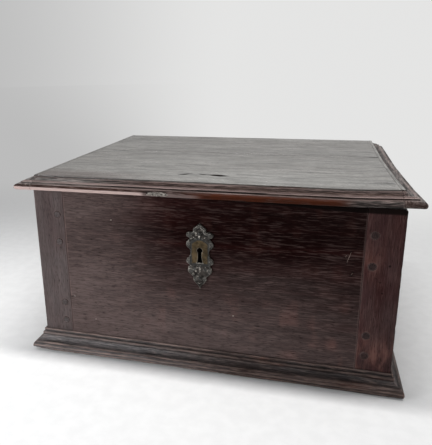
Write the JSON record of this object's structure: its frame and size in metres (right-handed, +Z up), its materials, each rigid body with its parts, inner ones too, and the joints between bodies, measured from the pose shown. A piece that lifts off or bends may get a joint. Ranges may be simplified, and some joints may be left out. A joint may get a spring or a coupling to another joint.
{
  "type": "coffer",
  "caption": "Small oak table coffer with a pegged front, moulded hinged lid, base moulding, shaped brass keyhole plate and an iron box lock whose bolt slides.",
  "frame": {"origin": "on the floor under the middle of the whole coffer's bounding box, lid shut", "axes": "+X to the coffer's right seen from the front, -Y out of the front, +Z up"},
  "size_m": [0.4902, 0.3914, 0.252],
  "materials": {
    "front_oak": "waxed",
    "stile_oak": "waxed",
    "lid_oak": "waxed",
    "moulded_oak": "waxed",
    "plain_oak": "dry",
    "peg_oak": "waxed",
    "old_brass": "patinated",
    "black_iron": "blackened, wrought"
  },
  "bodies": {
    "carcase": {"front_board": "front_oak", "front_left_stile": "stile_oak", "front_right_stile": "stile_oak", "left_side_board": "plain_oak", "right_side_board": "plain_oak", "back_board": "plain_oak", "bottom_front_board": "plain_oak", "bottom_back_board": "plain_oak", "base_front_moulding": "moulded_oak", "base_left_moulding": "moulded_oak", "base_right_moulding": "moulded_oak", "peg_left_1": "peg_oak", "peg_left_2": "peg_oak", "peg_left_3": "peg_oak", "peg_left_4": "peg_oak", "peg_right_1": "peg_oak", "peg_right_2": "peg_oak", "peg_right_3": "peg_oak", "peg_right_4": "peg_oak", "escutcheon": "old_brass", "escutcheon_pin_top": "old_brass", "escutcheon_pin_bottom": "old_brass", "lock_plate": "black_iron", "lock_case": "black_iron", "lock_keeper_left": "black_iron", "lock_keeper_right": "black_iron", "lock_spring": "black_iron", "key_pin": "black_iron", "hinge_left_leaf": "black_iron", "hinge_right_leaf": "black_iron", "hinge_left_pin": "black_iron", "hinge_right_pin": "black_iron"},
    "lid": {"lid_front_board": "lid_oak", "lid_back_board": "lid_oak", "lid_left_cleat": "lid_oak", "lid_right_cleat": "lid_oak", "hinge_left_strap": "black_iron", "hinge_right_strap": "black_iron", "lid_staple": "black_iron"},
    "bolt": {"lock_bolt": "black_iron"}
  },
  "joints": [
    {"name": "lid_hinge", "type": "hinge", "parent": "carcase", "child": "lid", "pos_m": [0, 0.1915, 0.2347], "axis": [-1, 0, 0], "range_deg": [0, 100]},
    {"name": "bolt_slide", "type": "slide", "parent": "carcase", "child": "bolt", "axis": [1, 0, 0], "range_m": [0, 0.012]}
  ]
}
